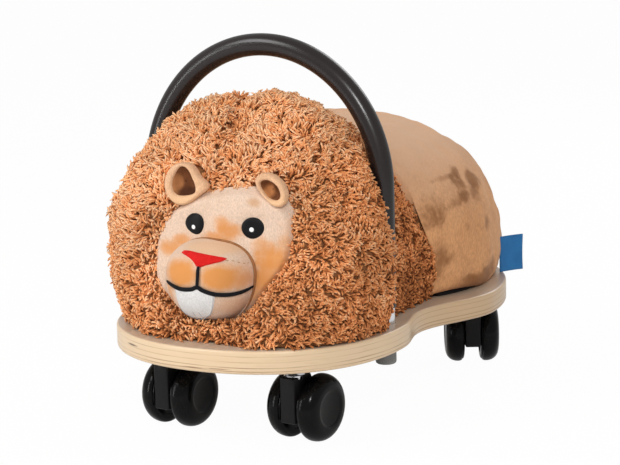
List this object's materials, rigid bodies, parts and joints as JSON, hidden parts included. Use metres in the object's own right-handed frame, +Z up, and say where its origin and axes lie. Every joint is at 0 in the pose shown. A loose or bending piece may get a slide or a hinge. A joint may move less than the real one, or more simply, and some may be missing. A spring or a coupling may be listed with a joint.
{
  "type": "plush ride-on animal",
  "caption": "Stuffed lion on a waisted plywood board with a hoop handle, which a small child sits on and rolls about on swivelling casters.",
  "frame": {"origin": "on the floor, under the middle of the board", "axes": "+Z up, the lion faces -Y, and its left side lies at +X"},
  "size_m": [0.2664, 0.3703, 0.2857],
  "materials": {
    "plywood": "clear varnished birch plywood",
    "steel": "plated, satin",
    "black_steel": "black, satin",
    "black_sleeve": "satin",
    "grey_plastic": "matt",
    "black_plastic": "glossy",
    "foam": "stuffing under the covers",
    "mane_pile": "long curly pile",
    "tan_pile": "short pile",
    "cream_pile": "short pile",
    "black_felt": "felt",
    "red_felt": "felt",
    "white_felt": "felt",
    "black_thread": "embroidery",
    "black_gloss": "glossy",
    "blue_weave": "plain woven tape"
  },
  "bodies": {
    "ride_on": {"base_board": "plywood", "base_liner": "black_felt", "body_cover": "tan_pile", "body_foam": "foam", "head_foam": "foam", "mane_cover": "mane_pile", "face_panel": "cream_pile", "muzzle": "cream_pile", "ear_left": "cream_pile", "ear_right": "cream_pile", "eye_left": "black_gloss", "eye_right": "black_gloss", "mouth_stitch": "black_thread", "nose": "red_felt", "tongue": "white_felt", "side_label": "blue_weave", "handle_tube": "steel", "handle_grip": "black_sleeve", "handle_bolt_left": "steel", "handle_bolt_right": "steel", "handle_cap_left": "grey_plastic", "handle_cap_right": "grey_plastic", "caster_front_left_plate": "black_steel", "caster_front_left_screw_1": "steel", "caster_front_left_screw_2": "steel", "caster_front_left_screw_3": "steel", "caster_front_left_screw_4": "steel", "caster_front_right_plate": "black_steel", "caster_front_right_screw_1": "steel", "caster_front_right_screw_2": "steel", "caster_front_right_screw_3": "steel", "caster_front_right_screw_4": "steel", "caster_rear_left_plate": "black_steel", "caster_rear_left_screw_1": "steel", "caster_rear_left_screw_2": "steel", "caster_rear_left_screw_3": "steel", "caster_rear_left_screw_4": "steel", "caster_rear_right_plate": "black_steel", "caster_rear_right_screw_1": "steel", "caster_rear_right_screw_2": "steel", "caster_rear_right_screw_3": "steel", "caster_rear_right_screw_4": "steel"},
    "caster_front_left_swivel": {"caster_front_left_housing": "black_plastic", "caster_front_left_axle": "steel"},
    "caster_front_left_wheel_left": {"caster_front_left_wheel_left": "black_plastic"},
    "caster_front_left_wheel_right": {"caster_front_left_wheel_right": "black_plastic"},
    "caster_front_right_swivel": {"caster_front_right_housing": "black_plastic", "caster_front_right_axle": "steel"},
    "caster_front_right_wheel_left": {"caster_front_right_wheel_left": "black_plastic"},
    "caster_front_right_wheel_right": {"caster_front_right_wheel_right": "black_plastic"},
    "caster_rear_left_swivel": {"caster_rear_left_housing": "black_plastic", "caster_rear_left_axle": "steel"},
    "caster_rear_left_wheel_left": {"caster_rear_left_wheel_left": "black_plastic"},
    "caster_rear_left_wheel_right": {"caster_rear_left_wheel_right": "black_plastic"},
    "caster_rear_right_swivel": {"caster_rear_right_housing": "black_plastic", "caster_rear_right_axle": "steel"},
    "caster_rear_right_wheel_left": {"caster_rear_right_wheel_left": "black_plastic"},
    "caster_rear_right_wheel_right": {"caster_rear_right_wheel_right": "black_plastic"}
  },
  "joints": [
    {"name": "caster_front_left_turn", "type": "hinge", "parent": "ride_on", "child": "caster_front_left_swivel", "pos_m": [0.0515, -0.1432, 0.058], "axis": [0, 0, 1], "continuous": true},
    {"name": "caster_front_left_wheel_left_spin", "type": "hinge", "parent": "caster_front_left_swivel", "child": "caster_front_left_wheel_left", "pos_m": [0.05387, -0.12839, 0.02475], "axis": [0.9874, -0.1582, 0], "continuous": true},
    {"name": "caster_front_left_wheel_right_spin", "type": "hinge", "parent": "caster_front_left_swivel", "child": "caster_front_left_wheel_right", "pos_m": [0.05387, -0.12839, 0.02475], "axis": [0.9874, -0.1582, 0], "continuous": true},
    {"name": "caster_front_right_turn", "type": "hinge", "parent": "ride_on", "child": "caster_front_right_swivel", "pos_m": [-0.0515, -0.1432, 0.058], "axis": [0, 0, 1], "continuous": true},
    {"name": "caster_front_right_wheel_left_spin", "type": "hinge", "parent": "caster_front_right_swivel", "child": "caster_front_right_wheel_left", "pos_m": [-0.0497, -0.12831, 0.02475], "axis": [0.9928, -0.1201, 0], "continuous": true},
    {"name": "caster_front_right_wheel_right_spin", "type": "hinge", "parent": "caster_front_right_swivel", "child": "caster_front_right_wheel_right", "pos_m": [-0.0497, -0.12831, 0.02475], "axis": [0.9928, -0.1201, 0], "continuous": true},
    {"name": "caster_rear_left_turn", "type": "hinge", "parent": "ride_on", "child": "caster_rear_left_swivel", "pos_m": [0.0937, 0.102, 0.058], "axis": [0, 0, 1], "continuous": true},
    {"name": "caster_rear_left_wheel_left_spin", "type": "hinge", "parent": "caster_rear_left_swivel", "child": "caster_rear_left_wheel_left", "pos_m": [0.08736, 0.1156, 0.02475], "axis": [0.9063, 0.4226, 0], "continuous": true},
    {"name": "caster_rear_left_wheel_right_spin", "type": "hinge", "parent": "caster_rear_left_swivel", "child": "caster_rear_left_wheel_right", "pos_m": [0.08736, 0.1156, 0.02475], "axis": [0.9063, 0.4226, 0], "continuous": true},
    {"name": "caster_rear_right_turn", "type": "hinge", "parent": "ride_on", "child": "caster_rear_right_swivel", "pos_m": [-0.0937, 0.102, 0.058], "axis": [0, 0, 1], "continuous": true},
    {"name": "caster_rear_right_wheel_left_spin", "type": "hinge", "parent": "caster_rear_right_swivel", "child": "caster_rear_right_wheel_left", "pos_m": [-0.09809, 0.11635, 0.02475], "axis": [0.9563, 0.2924, 0], "continuous": true},
    {"name": "caster_rear_right_wheel_right_spin", "type": "hinge", "parent": "caster_rear_right_swivel", "child": "caster_rear_right_wheel_right", "pos_m": [-0.09809, 0.11635, 0.02475], "axis": [0.9563, 0.2924, 0], "continuous": true}
  ]
}
